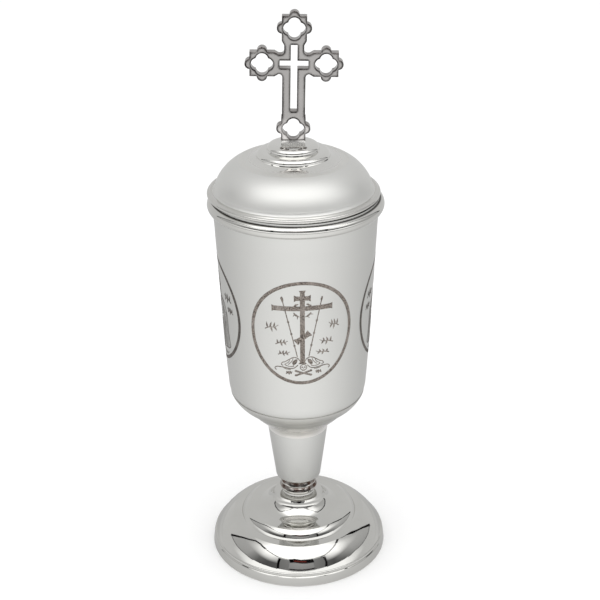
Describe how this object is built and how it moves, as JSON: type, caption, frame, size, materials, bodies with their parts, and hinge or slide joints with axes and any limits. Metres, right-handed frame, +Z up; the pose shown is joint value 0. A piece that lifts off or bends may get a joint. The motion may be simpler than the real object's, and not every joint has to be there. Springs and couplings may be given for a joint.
{
  "type": "ciborium",
  "caption": "Lidded church ciborium in plated metal: stepped round foot, tapered stem, tall cup with engraved medallions, and a loose domed lid crowned by a pierced cross.",
  "frame": {"origin": "centre of the circle on which the foot stands", "axes": "+Z up through the stem to the cross; the front medallion faces -Y, and +X is to the right as seen from the front"},
  "size_m": [0.08, 0.08, 0.2493],
  "materials": {
    "polished_silver": "polished plated metal",
    "satin_silver": "satin plated metal",
    "steel_hardware": "zinc plated steel",
    "engraving": "dark fill of the engraved lines"
  },
  "bodies": {
    "vessel": {"foot_base_ring": "polished_silver", "foot_shell": "polished_silver", "neck_collar": "polished_silver", "stem_sleeve": "satin_silver", "bowl_seat": "polished_silver", "cup_bowl": "satin_silver", "cup_rim_bead": "polished_silver", "bowl_boss": "steel_hardware", "tie_rod": "steel_hardware", "clamp_plate": "steel_hardware", "spring_washer": "steel_hardware", "clamp_nut": "steel_hardware"},
    "lid": {"lid_flange_bead": "polished_silver", "lid_skirt": "satin_silver", "lid_dome": "satin_silver", "lid_crown": "polished_silver", "cross_base_block": "polished_silver", "cross_plate": "polished_silver", "cross_stud": "steel_hardware", "stud_washer": "steel_hardware", "stud_nut": "steel_hardware"}
  },
  "joints": [
    {"name": "lid_lift", "type": "slide", "parent": "vessel", "child": "lid", "axis": [0, 0, 1], "range_m": [0, 0.06]}
  ]
}
